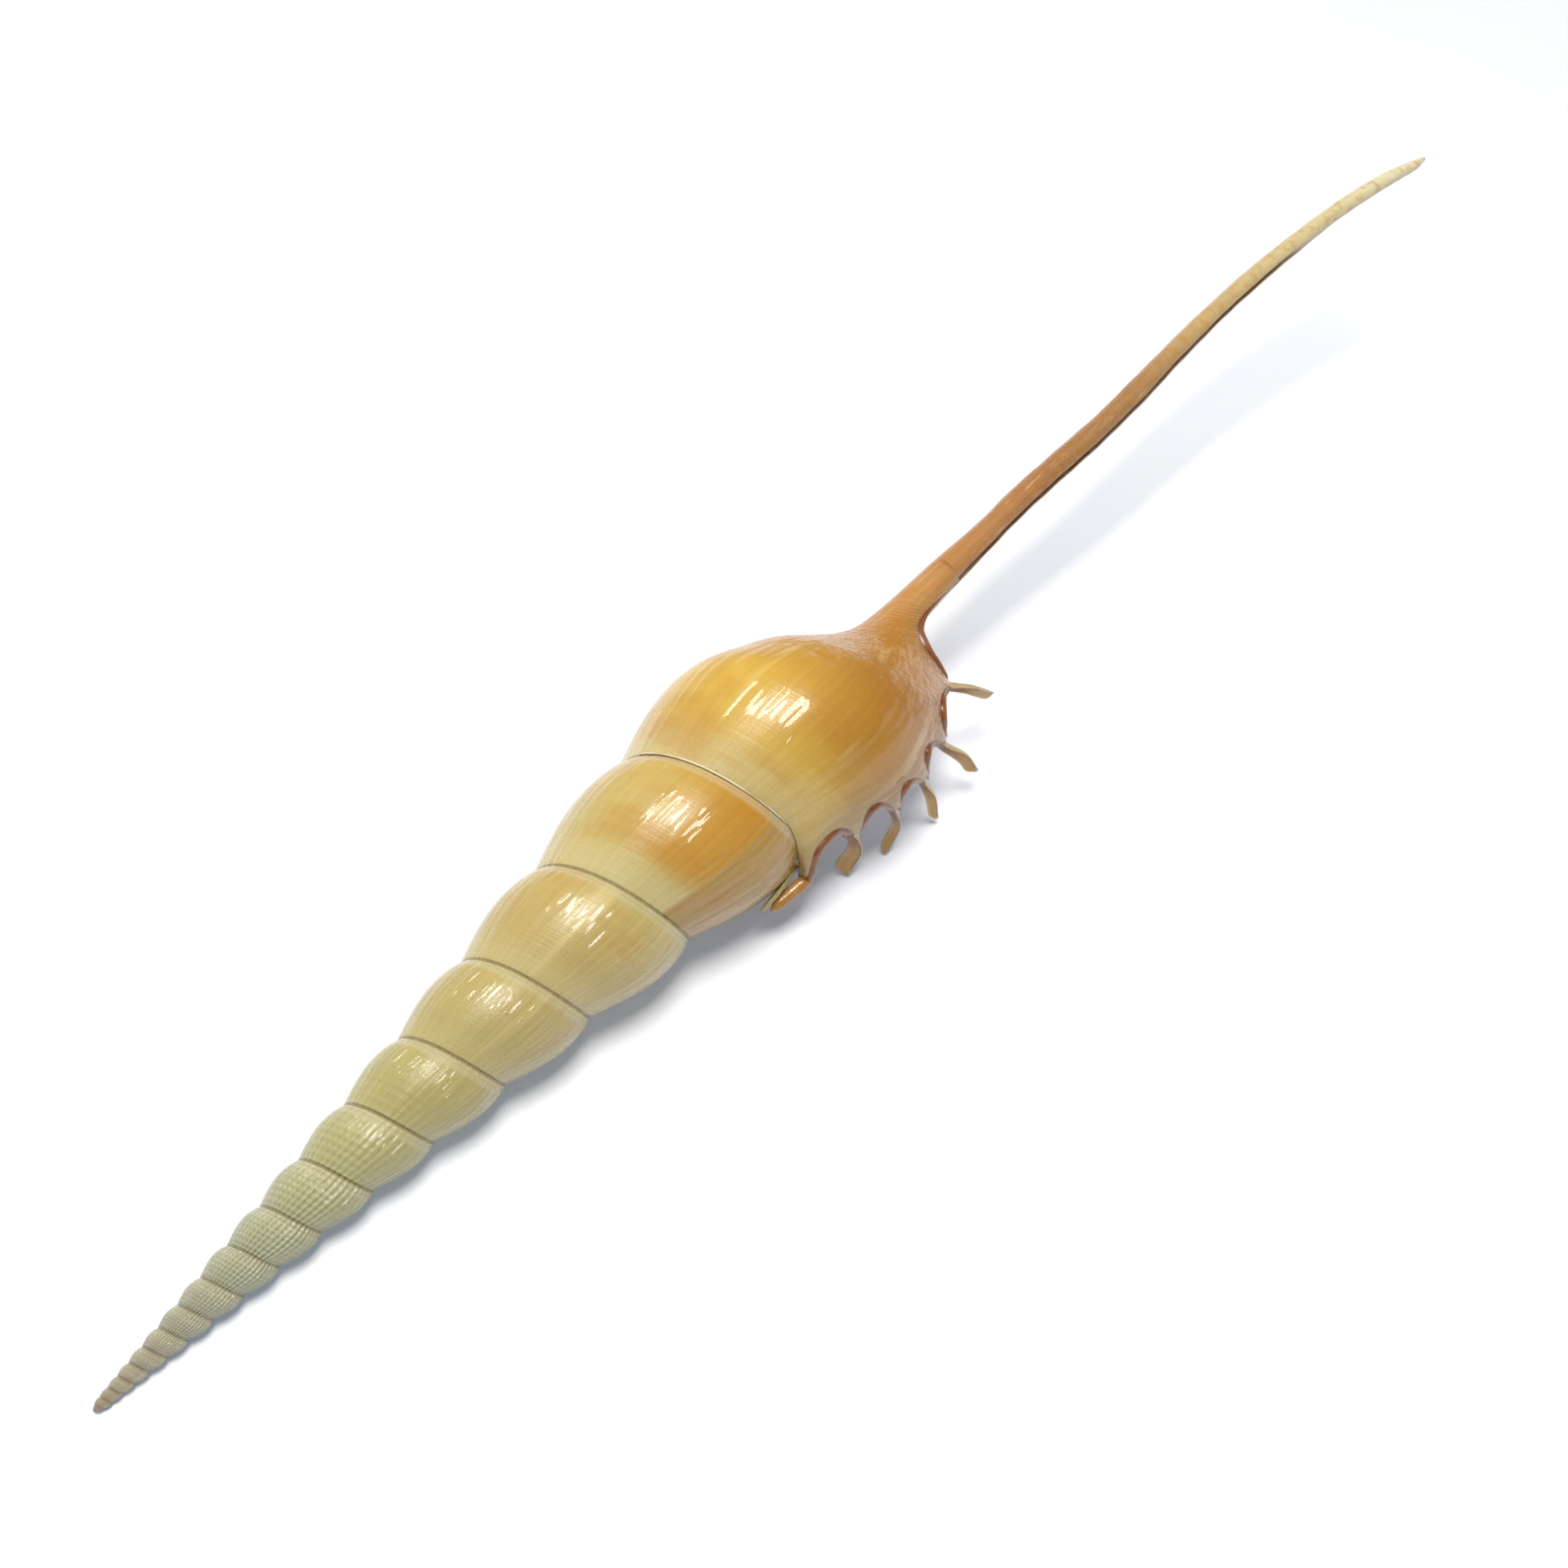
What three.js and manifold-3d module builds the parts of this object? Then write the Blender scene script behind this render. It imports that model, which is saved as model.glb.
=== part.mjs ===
// A spindle shell with a long open canal, grown as one piece.
// Millimetres, +Z up. The shell lies on its aperture with its apex towards -X, the
// tip of its canal towards +X and its outer lip towards -Y.
import * as THREE from "three";
import { mergeVertices } from "three/addons/utils/BufferGeometryUtils.js";
import Module from "manifold-3d";

// Overall size
const shellLength = 220;              // apex to tip of canal, along the axis of growth
const apexX = 4.5;                    // where the blunt first whorl starts
const canalTipX = apexX + shellLength;

// Spiral of growth, measured from the point that all the whorls shrink towards
const growthPerTurn = 1.2177;         // each whorl is this much larger than the one before
const growthRise = 0.00112;           // the growth quickens slightly with age
const lastSutureX = 87.9;             // the last suture, where it crosses the datum angle
const sutureDatum = 25.5;             // degrees from the top of the shell towards the lip
const sutureSlope = 0.1081;           // radius of the suture over its distance
const sutureFlare = 0.0161;           // and how much that ratio grows with distance
const lipAngle = 112;                 // degrees from the top, down the lip side
const oldestTurn = -15.6;             // turns of spire counted back from the datum
const whorlBulge = 0.098;             // height of a whorl's curve over its length
const whorlPeak = 0.57;               // where along the whorl the curve is highest

// Facets
const stepsPerTurn = 24;
const rowsPerWhorl = 4;

// Last whorl. Each column is a line that follows the growth; each station is a
// cut through the axis, given as distance along the axis and radius.
const apertureSide = [
  [92.1, 10.85], [95.6, 9.7], [98.6, 7.7], [101.2, 5.8], [104.0, 4.4], [107.5, 3.6], [112.5, 3.0],
  [118, 2.5], [129, 1.95],
];
const backSide = [
  [101.2, 10.4], [104.2, 9.1], [107.0, 7.3], [109.4, 5.35], [111.8, 3.85], [114.2, 2.95], [117.0, 2.5],
  [121.0, 2.2], [129, 1.95],
];
const topSide = [
  [104.9, 11.9], [108.0, 10.3], [110.5, 8.1], [113.0, 6.0], [115.2, 4.4], [117.4, 3.25], [119.7, 2.6],
  [122.7, 2.25], [129, 1.95],
];
const lipSide = [
  [111.0, 13.55], [114.4, 12.4], [117.2, 10.3], [119.0, 7.8], [120.4, 5.0], [121.8, 3.1], [123.6, 2.3],
  [126, 2.05], [129, 1.95],
];
const stationAngles = [lipAngle - 360, -65, 25, lipAngle];
const lipFlare = 1.035;               // the lip stands out from the whorl by this factor

// Canal, past the last column: distance along the axis, radius, drift towards the lip
const canalRings = [
  [136, 1.66, 0.15], [143, 1.6, 0.1], [150, 1.6, 0.4], [158, 1.52, 0.8], [166, 1.5, 0.8],
  [175, 1.4, 0.6], [184, 1.3, 0.6], [193, 1.26, 1.0], [201, 1.16, 1.7], [208, 1.05, 2.5],
  [214, 1.0, 3.6], [219, 0.9, 4.8], [222.5, 0.62, 5.9],
];

// Opening
const wallThickness = 1.3;
const apertureReach = 150;            // degrees that the hollow runs back behind the lip
const mouthOverrun = 5;               // degrees that the hollow is cut past the lip
const columnCallus = 0.5;             // thickness laid over the column beside the opening
const slitWidth = 0.9;
const slitAngle = 118;                // degrees from the top to the slit of the canal
const slitFloor = 0.2;                // how far from the middle the slit's floor is
const slitStartX = 117;
const slitEndX = 196;

// Fingers of the lip: the middle of the root, a point on the way, the tip, then
// the width of the root and of the blade
const fingers = [
  {
    root: [117.3, -8.5, -3.2], bend: [121.4, -9.8, -6.2], tip: [124.3, -11.1, -9.5],
    rootWidth: 4.0, width: 1.8,
  },
  {
    root: [112.9, -12.3, -4.8], bend: [114.8, -14.1, -8.7], tip: [115.8, -15.4, -12.0],
    rootWidth: 4.2, width: 2.0,
  },
  {
    root: [107.9, -13.1, -5.0], bend: [108.4, -14.4, -9.5], tip: [108.6, -15.2, -13.6],
    rootWidth: 4.4, width: 2.0,
  },
  {
    root: [102.9, -12.8, -5.0], bend: [102.9, -13.9, -9.2], tip: [101.0, -13.6, -13.2],
    rootWidth: 4.6, width: 2.0,
  },
  {
    root: [97.7, -12.3, -4.9], bend: [97.4, -12.6, -9.0], tip: [95.6, -12.5, -12.7],
    rootWidth: 4.8, width: 2.2,
  },
];
const fingerThickness = 1.1;
const fingerRings = 8;
const rootSink = 7;                   // degrees that a root runs back into the lip
const rootShare = 0.45;               // part of a finger over which its root narrows
const posteriorCanal = {
  root: [91.2, -10.3, -3.8], bend: [88.0, -10.3, -4.8], tip: [84.8, -9.9, -5.8],
  rootWidth: 4.8, width: 3.4,
};

// How the shell lies
const restTilt = 7.7;                 // degrees that the canal end is lifted
const restRoll = 0;                   // degrees that it leans over towards the lip

const rad = THREE.MathUtils.degToRad;
const mix = THREE.MathUtils.lerp;
const wasm = await Module();
wasm.setup();

function sutureX(angle) {
  const turns = (angle - sutureDatum) / 360;
  return lastSutureX * growthPerTurn ** turns * Math.exp(growthRise * turns * turns);
}

function sutureRadius(x) {
  return x * (sutureSlope + sutureFlare * (x / lastSutureX - 0.5));
}

// A point at a distance along the axis, a radius and an angle from the top.
function polar(x, radius, angle) {
  return [x, -radius * Math.sin(rad(angle)), radius * Math.cos(rad(angle))];
}

// The curve of a whorl between its two sutures, s from 0 to 1.
function whorlPoint(angle, s) {
  const start = sutureX(angle);
  const end = sutureX(angle + 360);
  const x = start + (end - start) * s;
  const chord = mix(sutureRadius(start), sutureRadius(end), s);
  const skewed = s ** (Math.log(0.5) / Math.log(whorlPeak));
  return [x, chord + whorlBulge * (end - start) * Math.sin(Math.PI * skewed) ** 0.8];
}

// The stretch of the last whorl past the line of the next suture, by column.
function basePoint(angle, column) {
  const table = [apertureSide, backSide, topSide, lipSide];
  const next = stationAngles.findIndex((station) => station >= angle - 1e-9);
  const upper = Math.max(next, 1);
  const from = stationAngles[upper - 1];
  const t = (angle - from) / (stationAngles[upper] - from);
  const eased = t * t * (3 - 2 * t) * 0.5 + t * 0.5;
  const low = table[upper - 1][column];
  const high = table[upper][column];
  return [mix(low[0], high[0], eased), mix(low[1], high[1], eased)];
}

// The last whorl's curve on its way from its suture to its first base column.
function lastWhorlPoint(angle, s) {
  const [x, radius] = whorlPoint(angle, s);
  const [endX, endRadius] = basePoint(angle, 0);
  const [plainEndX, plainEndRadius] = whorlPoint(angle, 1);
  const nearLip = THREE.MathUtils.smoothstep(angle, 25, lipAngle);
  const flare = 1 + (lipFlare - 1) * nearLip * Math.sin(Math.PI * s * 0.5);
  const share = s * s;
  const plain = radius + (endRadius - plainEndRadius) * share;
  return [x + (endX - plainEndX) * share, plain * (share + (1 - share) * flare)];
}

function solidFrom(positions, triangles) {
  const geometry = new THREE.BufferGeometry();
  geometry.setAttribute("position", new THREE.Float32BufferAttribute(positions.flat(), 3));
  geometry.setIndex(triangles.flat());
  const merged = mergeVertices(geometry, 1e-5);
  const mesh = new wasm.Mesh({
    numProp: 3,
    vertProperties: new Float32Array(merged.attributes.position.array),
    triVerts: new Uint32Array(merged.index.array),
  });
  return new wasm.Manifold(mesh);
}

// The whole outer surface: spire, last whorl and canal, with a flat wall at the lip.
function grownBody() {
  const positions = [];
  const triangles = [];
  const put = (point) => positions.push(point) - 1;
  const quad = (a, b, c, d) => triangles.push([a, b, c], [a, c, d]);
  const lastStep = 0;
  const firstStep = Math.round((oldestTurn * 360) / (360 / stepsPerTurn));
  const angleOf = (step) => lipAngle + (step * 360) / stepsPerTurn;
  const turnStart = -stepsPerTurn;
  const suture = new Map();
  for (let step = firstStep; step <= lastStep; step += 1) {
    const [x, radius] = whorlPoint(angleOf(step), 0);
    suture.set(step, put(polar(x, radius, angleOf(step))));
  }
  const rows = new Map();
  for (let step = firstStep; step <= lastStep; step += 1) {
    const row = [suture.get(step)];
    const last = step > turnStart;
    for (let k = 1; k < rowsPerWhorl; k += 1) {
      const s = k / rowsPerWhorl;
      const [x, radius] = last ? lastWhorlPoint(angleOf(step), s) : whorlPoint(angleOf(step), s);
      row.push(put(polar(x, radius, angleOf(step))));
    }
    if (!last) {
      row.push(suture.get(step + stepsPerTurn));
    }
    rows.set(step, row);
  }
  const columns = lipSide.length;
  for (let step = turnStart; step <= lastStep; step += 1) {
    const row = rows.get(step);
    const firstColumn = step === turnStart ? 1 : 0;
    for (let column = firstColumn; column < columns; column += 1) {
      const shared = step === lastStep && column === columns - 1;
      if (shared) {
        row.push(rows.get(turnStart)[rowsPerWhorl + column]);
      } else {
        const [x, radius] = basePoint(angleOf(step), column);
        row.push(put(polar(x, radius, angleOf(step))));
      }
    }
  }
  for (let step = firstStep; step < lastStep; step += 1) {
    const here = rows.get(step);
    const next = rows.get(step + 1);
    const count = Math.min(here.length, next.length) - 1;
    for (let k = 0; k < count; k += 1) {
      quad(here[k], here[k + 1], next[k + 1], next[k]);
    }
  }
  // The blunt first whorl closes on a point.
  const apex = put([apexX, 0, 0]);
  for (let step = firstStep; step < firstStep + stepsPerTurn; step += 1) {
    triangles.push([apex, suture.get(step), suture.get(step + 1)]);
  }
  triangles.push([apex, suture.get(firstStep + stepsPerTurn), rows.get(firstStep)[rowsPerWhorl - 1]]);
  for (let k = rowsPerWhorl - 1; k > 0; k -= 1) {
    triangles.push([apex, rows.get(firstStep)[k], rows.get(firstStep)[k - 1]]);
  }
  // The flat wall under the lip, between the lip and the column beside the aperture.
  const lip = rows.get(lastStep);
  const column = rows.get(turnStart).slice(rowsPerWhorl);
  let a = 0;
  let b = 0;
  while (a < lip.length - 1 || b < column.length - 1) {
    const stepLip = b === column.length - 1
      || (a < lip.length - 1 && positions[lip[a + 1]][0] <= positions[column[b + 1]][0]);
    if (stepLip) {
      triangles.push([lip[a], lip[a + 1], column[b]]);
      a += 1;
    } else {
      triangles.push([lip[a], column[b + 1], column[b]]);
      b += 1;
    }
  }
  // The canal carries on from the last column to its tip.
  let ring = [];
  for (let step = turnStart; step < lastStep; step += 1) {
    ring.push(rows.get(step)[rowsPerWhorl + columns - 1]);
  }
  for (const [x, radius, drift] of canalRings) {
    const next = ring.map((_, k) => {
      const [px, py, pz] = polar(x, radius, angleOf(turnStart + k));
      return put([px, py - drift, pz]);
    });
    ring.forEach((_, k) => {
      const after = (k + 1) % ring.length;
      quad(ring[k], next[k], next[after], ring[after]);
    });
    ring = next;
  }
  const lastRing = canalRings[canalRings.length - 1];
  const tip = put([canalTipX, -lastRing[2] - 0.35, 0]);
  ring.forEach((_, k) => triangles.push([ring[k], tip, ring[(k + 1) % ring.length]]));
  const kept = triangles.filter(([p, q, r]) => p !== q && q !== r && p !== r);
  return solidFrom(positions, kept.map(([p, q, r]) => [p, r, q]));
}

// A closed solid through rings that all have the same number of points.
function solidThroughRings(rings) {
  const count = rings[0].length;
  const positions = rings.flat();
  const triangles = [];
  for (let k = 0; k < rings.length - 1; k += 1) {
    for (let j = 0; j < count; j += 1) {
      const a = k * count + j;
      const b = k * count + ((j + 1) % count);
      triangles.push([a, b, b + count], [a, b + count, a + count]);
    }
  }
  const ends = [[0, false], [(rings.length - 1) * count, true]];
  for (const [first, flip] of ends) {
    const sum = [0, 0, 0];
    for (const point of positions.slice(first, first + count)) {
      point.forEach((value, axis) => {
        sum[axis] += value;
      });
    }
    const middle = positions.push(sum.map((value) => value / count)) - 1;
    for (let j = 0; j < count; j += 1) {
      const a = first + j;
      const b = first + ((j + 1) % count);
      triangles.push(flip ? [middle, a, b] : [middle, b, a]);
    }
  }
  const made = solidFrom(positions, triangles);
  return made.volume() > 0 ? made : solidFrom(positions, triangles.map(([a, b, c]) => [a, c, b]));
}

// The hollow of the last whorl, open under the lip and running back behind it.
function apertureHollow() {
  const rings = [];
  const steps = 10;
  for (let k = 0; k <= steps; k += 1) {
    const angle = lipAngle - (apertureReach * k) / steps;
    const cut = k === 0 ? lipAngle + mouthOverrun : angle;
    const shrink = growthPerTurn ** ((angle - lipAngle) / 360);
    const outer = [0.25, 0.5, 0.75].map((s) => lastWhorlPoint(angle, s));
    for (let column = 0; column < 5; column += 1) {
      outer.push(basePoint(angle, column));
    }
    const inner = apertureSide.slice(1, 8)
      .map(([x, radius]) => [x * shrink, radius * shrink + columnCallus]);
    const ring = outer.map(([x, radius]) => polar(x, radius - wallThickness, cut));
    for (const [x, radius] of inner.reverse()) {
      ring.push(polar(x, radius, cut));
    }
    rings.push(ring);
  }
  return solidThroughRings(rings);
}

// The slit that runs along the canal from the aperture.
function canalSlit() {
  const onCanal = canalRings.filter(([x]) => x < slitEndX);
  const stations = [[slitStartX, 2.2, 0], [129, 1.95, 0], ...onCanal];
  return solidThroughRings(stations.map(([x, radius, drift]) => {
    const across = [Math.cos(rad(slitAngle)), Math.sin(rad(slitAngle))];
    const out = [-Math.sin(rad(slitAngle)), Math.cos(rad(slitAngle))];
    const corners = [[-0.5, slitFloor], [0.5, slitFloor], [0.5, radius + 1], [-0.5, radius + 1]];
    return corners.map(([side, reach]) => [
      x,
      out[0] * reach + across[0] * side * slitWidth - drift,
      out[1] * reach + across[1] * side * slitWidth,
    ]);
  }));
}

// A finger: a flattened blade that follows a curve and narrows to a rounded tip.
function finger({ root, bend, tip, rootWidth, width }) {
  const [start, middle, end] = [root, bend, tip].map((point) => new THREE.Vector3(...point));
  const anchor = start.clone().applyAxisAngle(new THREE.Vector3(1, 0, 0), rad(-rootSink));
  const path = new THREE.CatmullRomCurve3([anchor, start, middle, end]);
  const outward = new THREE.Vector3(0, start.y, start.z).normalize();
  const sides = 8;
  const rings = [];
  for (let k = 0; k <= fingerRings; k += 1) {
    const t = k / fingerRings;
    const centre = path.getPoint(t);
    const along = path.getTangent(t);
    const side = new THREE.Vector3().crossVectors(along, outward).normalize();
    const thick = new THREE.Vector3().crossVectors(side, along).normalize();
    const spread = Math.max(1 - t / rootShare, 0) ** 2;
    const rounding = Math.sqrt(1 - Math.max((t - 0.8) / 0.23, 0) ** 2);
    const halfWidth = 0.5 * rounding * mix(width, rootWidth, spread);
    const halfThickness = 0.5 * rounding * fingerThickness;
    const ring = [];
    for (let j = 0; j < sides; j += 1) {
      const turn = (2 * Math.PI * (j + 0.5)) / sides;
      ring.push(centre.clone()
        .addScaledVector(side, halfWidth * Math.cos(turn))
        .addScaledVector(thick, halfThickness * Math.sin(turn)).toArray());
    }
    rings.push(ring);
  }
  return solidThroughRings(rings);
}

// The solid turned to lie on its aperture, centred, with its lowest point on z = 0.
function laidDown(solid) {
  const tilted = solid.rotate([restRoll, 0, 0]).rotate([0, -restTilt, 0]);
  const { min, max } = tilted.boundingBox();
  return tilted.translate([-(min[0] + max[0]) / 2, -(min[1] + max[1]) / 2, -min[2]]);
}

function geometryFrom(solid) {
  const { numProp, vertProperties, triVerts } = solid.getMesh();
  const geometry = new THREE.BufferGeometry();
  const positions = [];
  for (let k = 0; k < vertProperties.length; k += numProp) {
    positions.push(vertProperties[k], vertProperties[k + 1], vertProperties[k + 2]);
  }
  geometry.setAttribute("position", new THREE.Float32BufferAttribute(positions, 3));
  geometry.setIndex(Array.from(triVerts));
  geometry.computeVertexNormals();
  return geometry;
}

let solid = grownBody().subtract(apertureHollow()).subtract(canalSlit());
for (const shape of [...fingers, posteriorCanal]) {
  solid = solid.add(finger(shape));
}
const shellMaterial = new THREE.MeshStandardMaterial({ color: 0xe0b877, roughness: 0.32, metalness: 0 });
const shell = new THREE.Mesh(geometryFrom(laidDown(solid)), shellMaterial);
shell.name = "tibia_shell";

const group = new THREE.Group();
group.add(shell);

export default group;
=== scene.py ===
# A spindle shell with a long open canal, lying on its aperture on a pale floor.
import functools
import math
import bpy
import numpy as np
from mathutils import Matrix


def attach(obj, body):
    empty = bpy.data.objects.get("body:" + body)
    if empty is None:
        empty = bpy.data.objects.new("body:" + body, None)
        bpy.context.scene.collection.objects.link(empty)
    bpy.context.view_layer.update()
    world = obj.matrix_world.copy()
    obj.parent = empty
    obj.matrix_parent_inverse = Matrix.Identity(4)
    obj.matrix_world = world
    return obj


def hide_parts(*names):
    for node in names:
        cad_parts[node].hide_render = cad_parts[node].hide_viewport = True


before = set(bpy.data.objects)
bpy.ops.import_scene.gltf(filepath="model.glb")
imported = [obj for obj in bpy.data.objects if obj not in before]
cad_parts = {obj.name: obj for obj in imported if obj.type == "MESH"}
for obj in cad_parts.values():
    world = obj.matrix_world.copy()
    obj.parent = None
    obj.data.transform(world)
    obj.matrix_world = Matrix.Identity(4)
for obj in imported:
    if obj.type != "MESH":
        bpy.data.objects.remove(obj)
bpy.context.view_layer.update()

mm = 0.001

print("stage: camera")

cameraView = {
    "place": (-109.34, -79.91, 163.73),    # mm
    "turn": (38.146, -0.79, -48.435),      # degrees
    "lens": 40.48,
    "sensor": 36,                          # mm wide
}


def addCamera(settings):
    place = [value * mm for value in settings["place"]]
    turn = [math.radians(value) for value in settings["turn"]]
    bpy.ops.object.camera_add(location=place, rotation=turn)
    camera = bpy.context.object
    camera.name = "photoCamera"
    camera.data.lens = settings["lens"]
    camera.data.sensor_width = settings["sensor"]
    camera.data.clip_start = 0.005
    bpy.context.scene.camera = camera


addCamera(cameraView)

print("stage: growth of the shell")

# All lengths in mm, in the shell's own frame: x runs along its axis from the point
# that the whorls shrink towards, and an angle of 0 is the top of the lying shell.
growth = {
    "perTurn": 1.2177,                     # each whorl against the one before it
    "rise": 0.00112,                       # how much faster the later turns grow
    "sutureX": 87.9,                       # where the last suture crosses the datum angle
    "datum": 25.5,                         # degrees
    "sutureSlope": 0.1081,                 # radius at the suture over distance along the axis
    "sutureFlare": 0.0161,                 # and how much that grows
    "bulge": 0.098,                        # height of a whorl over its length
    "earlyBulge": 0.035,                   # how much rounder the first whorls are
    "peak": 0.57,                          # where along the whorl it is highest
    "lipAngle": 112,                       # degrees, where the lip stands
    "oldestTurn": -18.6,                   # where the shell began, in turns from the lip
    "lipFlare": 1.035,                     # how much wider the last whorl is at the lip
    "flareFrom": 25,                       # degrees
    "apexX": 4.5,                          # where the blunt first whorl begins
    "length": 220,
}

# The last whorl past the line of the next suture: distance along the axis and radius.
lastWhorl = {
    "apertureSide": [(92.1, 10.85), (95.6, 9.7), (98.6, 7.7), (101.2, 5.8), (104.0, 4.4), (107.5, 3.6),
                     (112.5, 3.0), (118, 2.5), (129, 1.95)],
    "backSide": [(101.2, 10.4), (104.2, 9.1), (107.0, 7.3), (109.4, 5.35), (111.8, 3.85), (114.2, 2.95),
                 (117.0, 2.5), (121.0, 2.2), (129, 1.95)],
    "topSide": [(104.9, 11.9), (108.0, 10.3), (110.5, 8.1), (113.0, 6.0), (115.2, 4.4), (117.4, 3.25),
                (119.7, 2.6), (122.7, 2.25), (129, 1.95)],
    "lipSide": [(111.0, 13.55), (114.4, 12.4), (117.2, 10.3), (119.0, 7.8), (120.4, 5.0), (121.8, 3.1),
                (123.6, 2.3), (126, 2.05), (129, 1.95)],
    "angles": [-248, -65, 25, 112],
}

# The canal: distance along the axis, radius and drift towards the lip side.
canal = {
    "rings": [(129, 1.95, 0), (136, 1.66, 0.15), (143, 1.6, 0.1), (150, 1.6, 0.4), (158, 1.52, 0.8),
              (166, 1.5, 0.8), (175, 1.4, 0.6), (184, 1.3, 0.6), (193, 1.26, 1.0), (201, 1.16, 1.7),
              (208, 1.05, 2.5), (214, 1.0, 3.6), (219, 0.9, 4.8), (222.5, 0.62, 5.9), (224.2, 0.25, 6.2)],
    "slitAngle": 96,
    "slitHalfWidth": 0.5,                  # mm
    "slitEnd": 205,
    "slitFade": 15,
    "slitDepth": 0.62,                     # of the radius
    "steps": 96,
    "sides": 72,
}
canalStart, canalEnd = canal["rings"][0][0], canal["rings"][-1][0]

rest = {
    "tilt": 7.7,                           # degrees that the canal end is lifted
    "shift": (-113.468, 1.822, -0.063),    # mm, from the shell's own frame to the floor's
}


def sutureAt(angle):
    turns = (angle - growth["datum"]) / 360
    return growth["sutureX"] * growth["perTurn"] ** turns * np.exp(growth["rise"] * turns ** 2)


def sutureRadius(x):
    return x * (growth["sutureSlope"] + growth["sutureFlare"] * (x / growth["sutureX"] - 0.5))


def smooth(value, low, high):
    t = np.clip((value - low) / (high - low), 0, 1)
    return t * t * (3 - 2 * t)


def whorlPoint(angle, s):
    # distance and radius on a whorl of the spire, s from one suture to the next
    start = sutureAt(angle)
    end = sutureAt(angle + 360)
    chord = sutureRadius(start) * (1 - s) + sutureRadius(end) * s
    skewed = np.clip(s, 0, 1) ** (math.log(0.5) / math.log(growth["peak"]))
    arch = np.clip(np.sin(math.pi * skewed), 0, 1) ** 0.8
    bulge = growth["bulge"] + growth["earlyBulge"] * (1 - smooth(start, 14, 40))
    return np.stack([start + (end - start) * s, chord + bulge * (end - start) * arch], -1)


def splineThrough(places, points, at):
    # a smooth curve through points [..., knot, value] at the places of the knots
    places = np.asarray(places, float)
    slopes = np.diff(points, axis=-2) / np.diff(places)[:, None]
    weights = np.diff(places)
    middle = (slopes[..., :-1, :] * weights[1:, None] + slopes[..., 1:, :] * weights[:-1, None])
    middle = middle / (weights[1:] + weights[:-1])[:, None]
    tangents = np.concatenate([slopes[..., :1, :], middle, slopes[..., -1:, :]], axis=-2)
    k = np.clip(np.searchsorted(places, at, side="right") - 1, 0, len(places) - 2)
    h = (places[k + 1] - places[k])[:, None]
    t = (np.asarray(at)[:, None] - places[k][:, None]) / h
    low, high = points[..., k, :], points[..., k + 1, :]
    outA, outB = tangents[..., k, :] * h, tangents[..., k + 1, :] * h
    return (low * (2 * t ** 3 - 3 * t ** 2 + 1) + outA * (t ** 3 - 2 * t ** 2 + t)
            + high * (3 * t ** 2 - 2 * t ** 3) + outB * (t ** 3 - t ** 2))


def baseKnots(angle):
    # the nine points of the last whorl past the next suture's line, at one angle each
    tables = np.array([lastWhorl[side] for side in ("apertureSide", "backSide", "topSide", "lipSide")])
    flat = tables.reshape(1, 4, -1)
    held = np.clip(angle, lastWhorl["angles"][0], lastWhorl["angles"][-1])
    return splineThrough(lastWhorl["angles"], flat, held)[0].reshape(len(held), 9, 2)


whorlKnots = np.array([0, 0.05, 0.13, 0.28, 0.5, 0.75])
baseKnotStep = 0.22                        # how far apart the knots past the suture's line are


def lastWhorlPoint(angle, across):
    # distance and radius on the last whorl, for matching lists of angle and across
    base = baseKnots(angle)
    plainEnd = whorlPoint(angle, np.ones_like(angle))
    shift = base[:, 0] - plainEnd
    flare = 1 + (growth["lipFlare"] - 1) * smooth(angle, growth["flareFrom"], growth["lipAngle"])
    knots = []
    for s in whorlKnots:
        point = whorlPoint(angle, np.full_like(angle, s)) + shift * s * s
        point[:, 1] *= s * s + (1 - s * s) * (1 + (flare - 1) * math.sin(math.pi * s / 2))
        knots.append(point)
    points = np.concatenate([np.stack(knots, 1), base], 1)
    places = np.concatenate([whorlKnots, np.arange(1, 10)])
    lengths = np.concatenate([whorlKnots, 1 + baseKnotStep * np.arange(9)])
    at = np.interp(across, places, lengths)
    out = np.empty((len(angle), 2))
    order = {}
    for index, value in enumerate(np.round(angle, 6)):
        order.setdefault(value, []).append(index)
    for rows in order.values():
        out[rows] = splineThrough(lengths, points[rows[:1]], at[rows])[0]
    return out


def unit(vector):
    return vector / np.maximum(np.linalg.norm(vector, axis=-1, keepdims=True), 1e-9)


def polar(point, angle):
    turned = np.radians(angle)
    return np.stack([point[:, 0], -point[:, 1] * np.sin(turned), point[:, 1] * np.cos(turned)], -1)


def laidDown(points):
    # from the shell's own frame in mm to the floor's frame in metres
    tilt = math.radians(rest["tilt"])
    x = points[:, 0] * math.cos(tilt) - points[:, 2] * math.sin(tilt)
    z = points[:, 0] * math.sin(tilt) + points[:, 2] * math.cos(tilt)
    return (np.stack([x, points[:, 1], z], -1) + rest["shift"]) * mm


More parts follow.
